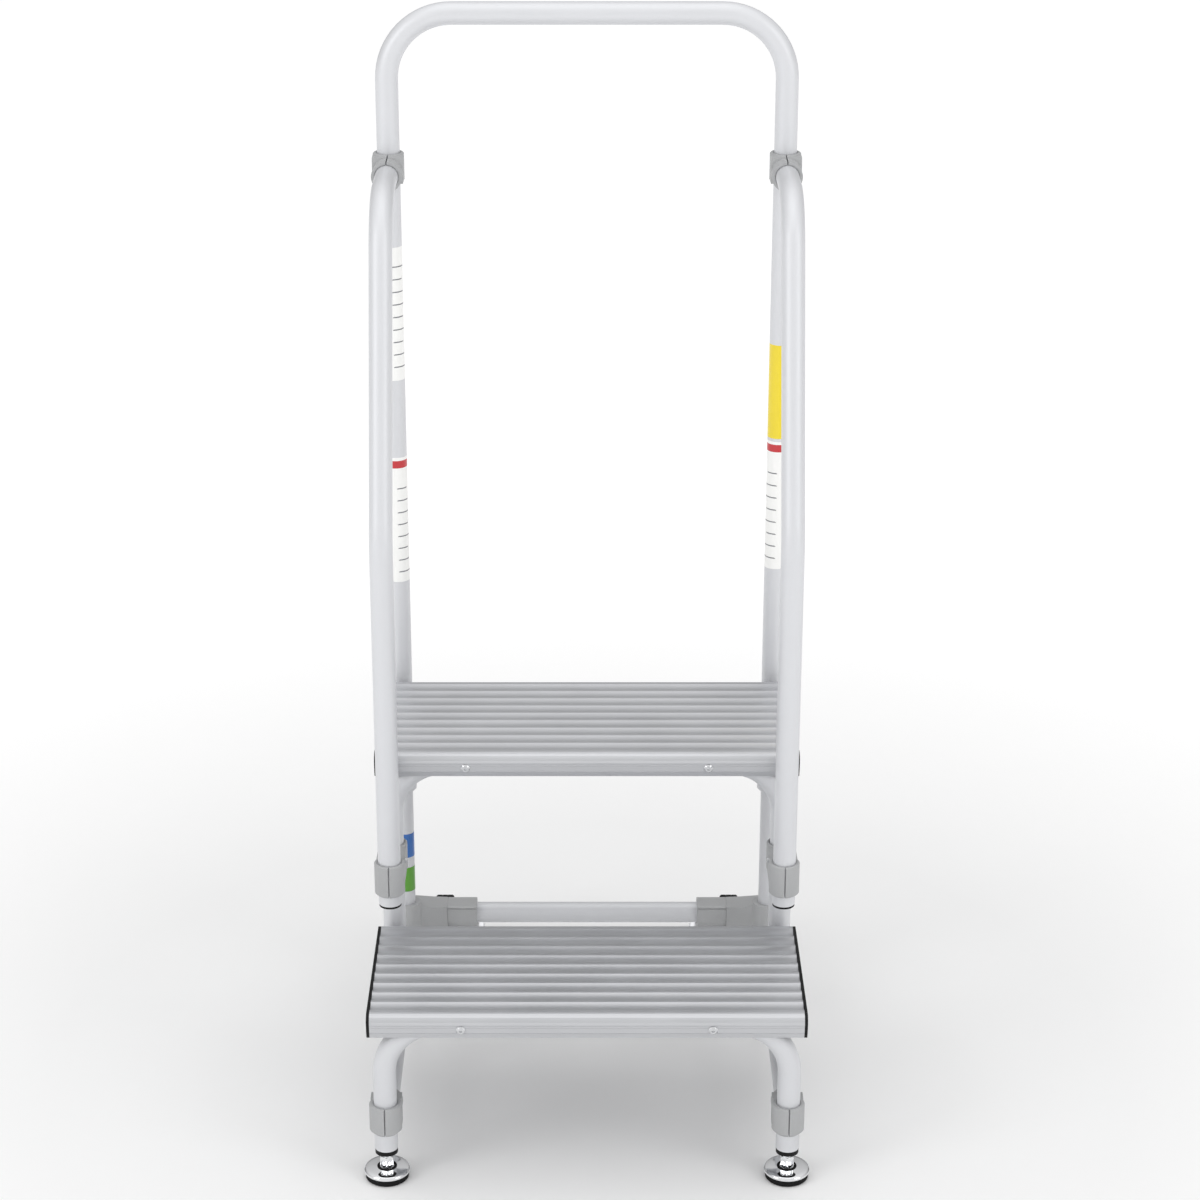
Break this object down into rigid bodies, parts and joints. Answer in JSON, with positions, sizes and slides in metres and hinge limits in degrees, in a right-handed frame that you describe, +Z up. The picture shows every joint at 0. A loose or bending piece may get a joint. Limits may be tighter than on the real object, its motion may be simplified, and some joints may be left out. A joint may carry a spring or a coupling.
{
  "type": "rolling warehouse ladder",
  "caption": "Tubular rolling step ladder with ribbed treads, side handrails, a rear guard hoop, rear wheels and levelling front feet.",
  "frame": {"origin": "centre of the footprint on the floor", "axes": "+Z up, -Y the front where a person climbs on, +X to the right as seen from the front"},
  "size_m": [0.58, 0.68, 1.436],
  "materials": {
    "tube_aluminium": "satin clear anodised tube",
    "tread_aluminium": "matt ribbed extrusion",
    "rail_aluminium": "mill finish",
    "clamp_grey": "fine textured moulding",
    "bracket_grey": "fine textured moulding",
    "black_plastic": "moulded",
    "wheel_rubber": "matt",
    "hub_plastic": "moulded",
    "bush_plastic": "natural acetal",
    "foot_chrome": "polished",
    "pad_rubber": "matt",
    "zinc_steel": "zinc plated"
  },
  "bodies": {
    "frame": {"guard_hoop": "tube_aluminium", "rear_leg_left": "tube_aluminium", "rear_leg_right": "tube_aluminium", "leg_collar_left": "tube_aluminium", "leg_collar_right": "tube_aluminium", "handrail_left": "tube_aluminium", "handrail_right": "tube_aluminium", "handrail_end_plugs": "black_plastic", "hoop_clamp_left": "clamp_grey", "hoop_clamp_right": "clamp_grey", "handrail_clamp_left": "clamp_grey", "handrail_clamp_right": "clamp_grey", "foot_clamp_left": "clamp_grey", "foot_clamp_right": "clamp_grey", "lower_step_frame": "tube_aluminium", "upper_step_frame": "tube_aluminium", "base_tube_left": "tube_aluminium", "base_tube_right": "tube_aluminium", "mid_clamp_left": "clamp_grey", "mid_clamp_right": "clamp_grey", "lower_tread_rail": "rail_aluminium", "upper_tread_rail": "rail_aluminium", "lower_tread": "tread_aluminium", "upper_tread": "tread_aluminium", "lower_tread_cap_left": "black_plastic", "lower_tread_cap_right": "black_plastic", "upper_tread_cap_left": "black_plastic", "upper_tread_cap_right": "black_plastic", "tread_screws": "zinc_steel", "clamp_bolts": "zinc_steel", "clamp_nuts": "zinc_steel", "rail_bolts": "zinc_steel", "rear_bracket_left": "bracket_grey", "rear_bracket_right": "bracket_grey", "crossbar_clamp_left": "bracket_grey", "crossbar_clamp_right": "bracket_grey", "crossbar_cap_left": "bracket_grey", "crossbar_cap_right": "bracket_grey", "rear_crossbar": "tube_aluminium", "cap_screws": "zinc_steel", "wheel_axle_left": "zinc_steel", "wheel_axle_right": "zinc_steel", "axle_nuts": "zinc_steel", "foot_plug_left": "black_plastic", "foot_plug_right": "black_plastic"},
    "wheel_left": {"wheel_tyre_left": "wheel_rubber", "wheel_hub_left": "hub_plastic", "wheel_bush_left": "bush_plastic"},
    "foot_stem_left": {"foot_stem_left": "foot_chrome", "foot_lock_nut_left": "foot_chrome"},
    "foot_swivel_left": {"foot_disc_left": "foot_chrome", "foot_pad_left": "pad_rubber"},
    "wheel_right": {"wheel_tyre_right": "wheel_rubber", "wheel_hub_right": "hub_plastic", "wheel_bush_right": "bush_plastic"},
    "foot_stem_right": {"foot_stem_right": "foot_chrome", "foot_lock_nut_right": "foot_chrome"},
    "foot_swivel_right": {"foot_disc_right": "foot_chrome", "foot_pad_right": "pad_rubber"}
  },
  "joints": [
    {"name": "left_wheel_spin", "type": "hinge", "parent": "frame", "child": "wheel_left", "pos_m": [-0.211, 0.292, 0.048], "axis": [1, 0, 0], "continuous": true},
    {"name": "left_foot_height", "type": "slide", "parent": "frame", "child": "foot_stem_left", "axis": [0, 0, 1], "range_m": [-0.012, 0.0007]},
    {"name": "left_foot_tilt", "type": "hinge", "parent": "foot_stem_left", "child": "foot_swivel_left", "pos_m": [-0.26, -0.31, 0.0105], "axis": [1, 0, 0], "range_deg": [-7, 7]},
    {"name": "right_wheel_spin", "type": "hinge", "parent": "frame", "child": "wheel_right", "pos_m": [0.211, 0.292, 0.048], "axis": [1, 0, 0], "continuous": true},
    {"name": "right_foot_height", "type": "slide", "parent": "frame", "child": "foot_stem_right", "axis": [0, 0, 1], "range_m": [-0.012, 0.0007]},
    {"name": "right_foot_tilt", "type": "hinge", "parent": "foot_stem_right", "child": "foot_swivel_right", "pos_m": [0.26, -0.31, 0.0105], "axis": [1, 0, 0], "range_deg": [-7, 7]}
  ]
}
